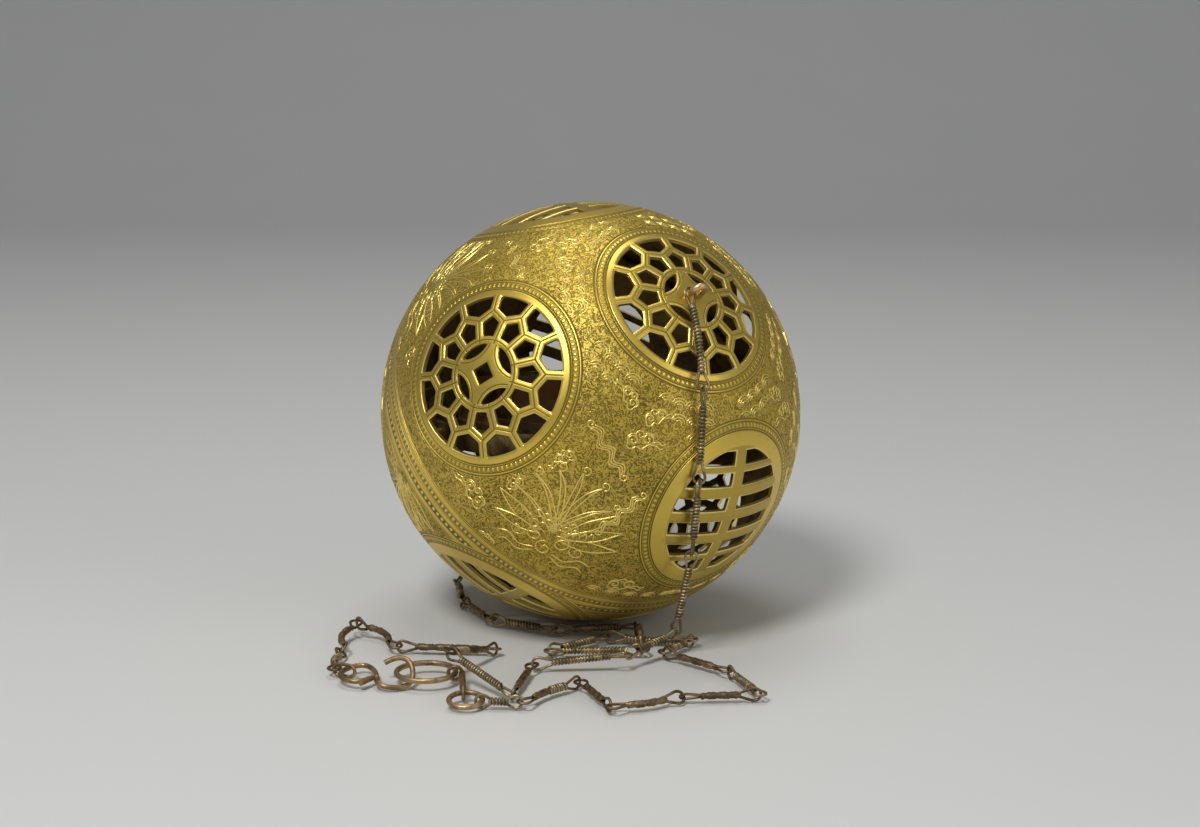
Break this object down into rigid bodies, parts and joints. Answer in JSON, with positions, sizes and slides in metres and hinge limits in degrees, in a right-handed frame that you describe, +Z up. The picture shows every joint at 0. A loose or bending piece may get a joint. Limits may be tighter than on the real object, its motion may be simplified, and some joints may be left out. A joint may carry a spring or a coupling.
{
  "type": "thurible censer",
  "caption": "Pierced brass ball censer that opens at its seam, with a bowl on gimbal rings inside and a long wire chain with a ring and a hook.",
  "frame": {"origin": "point where the ball touches the table", "axes": "+Z up, +X to the right of the front view, +Y away from the viewer; the ball's polar axis leans forward and to the right"},
  "size_m": [0.1407, 0.1649, 0.13],
  "materials": {
    "shell_brass": "polished, darkened in the recesses",
    "eye_brass": "worn",
    "inner_brass": "tarnished",
    "bowl_brass": "tarnished",
    "gimbal_brass": "tarnished",
    "pin_brass": "tarnished",
    "chain_wire": "brown patina",
    "ring_wire": "brown patina"
  },
  "bodies": {
    "lower_half": {"lower_shell": "shell_brass", "lap_ring": "inner_brass", "lower_eye": "eye_brass", "lower_eye_rove": "eye_brass", "shell_pins": "pin_brass", "lower_link_01": "chain_wire", "lower_link_02": "chain_wire", "lower_link_03": "chain_wire", "lower_link_04": "chain_wire", "lower_link_05": "chain_wire", "lower_link_06": "chain_wire", "lower_link_07": "chain_wire", "lower_link_08": "chain_wire", "lower_link_09": "chain_wire", "lower_link_10": "chain_wire", "lower_link_11": "chain_wire", "lower_link_12": "chain_wire", "lower_link_13": "chain_wire", "lower_link_14": "chain_wire", "lower_link_15": "chain_wire", "lower_link_16": "chain_wire", "lower_link_17": "chain_wire", "small_ring": "ring_wire", "ring_tie": "ring_wire", "large_ring": "ring_wire"},
    "upper_half": {"upper_shell": "shell_brass", "upper_eye": "eye_brass", "upper_eye_rove": "eye_brass", "upper_link_01": "chain_wire", "upper_link_02": "chain_wire", "upper_link_03": "chain_wire", "upper_link_04": "chain_wire", "upper_link_05": "chain_wire", "upper_link_06": "chain_wire", "upper_link_07": "chain_wire", "upper_link_08": "chain_wire", "upper_link_09": "chain_wire", "upper_link_10": "chain_wire", "upper_link_11": "chain_wire", "upper_link_12": "chain_wire", "upper_link_13": "chain_wire", "hook_ring": "ring_wire", "s_hook": "ring_wire"},
    "outer_ring": {"outer_gimbal_ring": "gimbal_brass", "ring_pins": "pin_brass"},
    "inner_ring": {"inner_gimbal_ring": "gimbal_brass", "bowl_pins": "pin_brass"},
    "bowl": {"fire_bowl": "bowl_brass"}
  },
  "joints": [
    {"name": "seam_slide", "type": "slide", "parent": "lower_half", "child": "upper_half", "axis": [0.4551, -0.6218, 0.6374], "range_m": [0, 0.08]},
    {"name": "outer_ring_hinge", "type": "hinge", "parent": "lower_half", "child": "outer_ring", "pos_m": [0, 0, 0.065], "axis": [0.807, 0.5906, 0], "continuous": true},
    {"name": "inner_ring_hinge", "type": "hinge", "parent": "outer_ring", "child": "inner_ring", "pos_m": [0, 0, 0.065], "axis": [-0.5906, 0.807, 0], "continuous": true},
    {"name": "bowl_hinge", "type": "hinge", "parent": "inner_ring", "child": "bowl", "pos_m": [0, 0, 0.065], "axis": [0.807, 0.5906, 0], "continuous": true}
  ]
}
